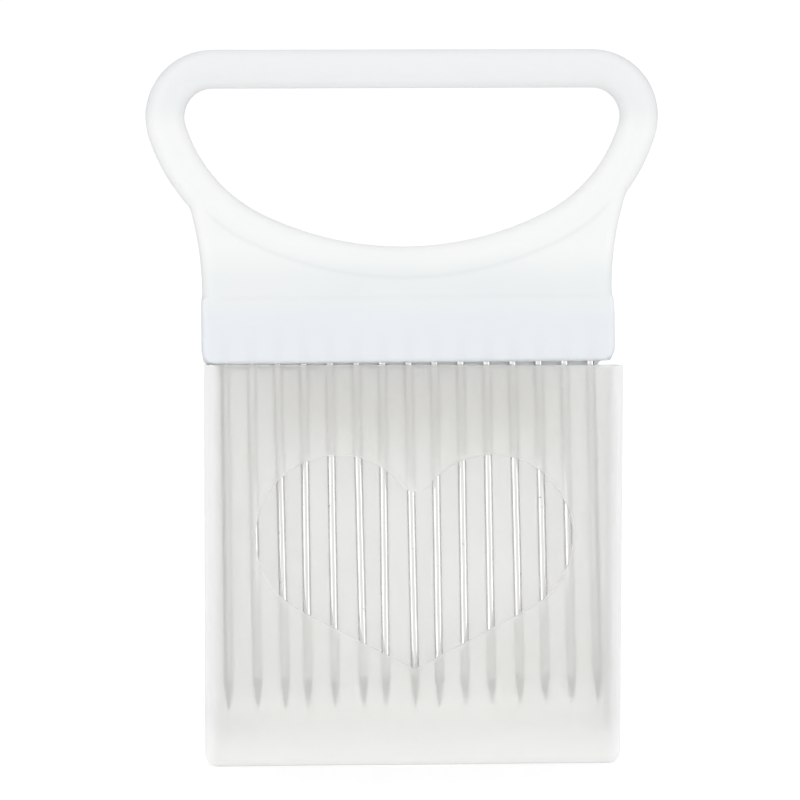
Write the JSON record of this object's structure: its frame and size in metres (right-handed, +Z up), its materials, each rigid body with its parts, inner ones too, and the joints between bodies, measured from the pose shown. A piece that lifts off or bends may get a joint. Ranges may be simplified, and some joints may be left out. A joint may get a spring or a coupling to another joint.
{
  "type": "pin comb slicing holder",
  "caption": "Handheld slicing comb: D-grip plastic handle with a row of long pointed steel pins, in a frosted pull-off sheath with a heart-shaped window.",
  "frame": {"origin": "centre of the flat bottom face of the sheath", "axes": "+Z up, from the sheath's bottom to the handle's grip; +X along the row of pins, to the right seen from the front; the front with the heart window faces -Y"},
  "size_m": [0.0991, 0.009, 0.1385],
  "materials": {
    "handle_plastic": "smooth white moulded plastic, soft gloss",
    "pin_steel": "bright drawn stainless steel with ground points",
    "sheath_plastic": "frosted translucent plastic"
  },
  "bodies": {
    "sheath": {"sheath": "sheath_plastic"},
    "comb": {"handle": "handle_plastic", "pin_01": "pin_steel", "pin_02": "pin_steel", "pin_03": "pin_steel", "pin_04": "pin_steel", "pin_05": "pin_steel", "pin_06": "pin_steel", "pin_07": "pin_steel", "pin_08": "pin_steel", "pin_09": "pin_steel", "pin_10": "pin_steel", "pin_11": "pin_steel", "pin_12": "pin_steel", "pin_13": "pin_steel", "pin_14": "pin_steel", "pin_15": "pin_steel"}
  },
  "joints": [
    {"name": "comb_pull", "type": "slide", "parent": "sheath", "child": "comb", "axis": [0, 0, 1], "range_m": [0, 0.075]}
  ]
}
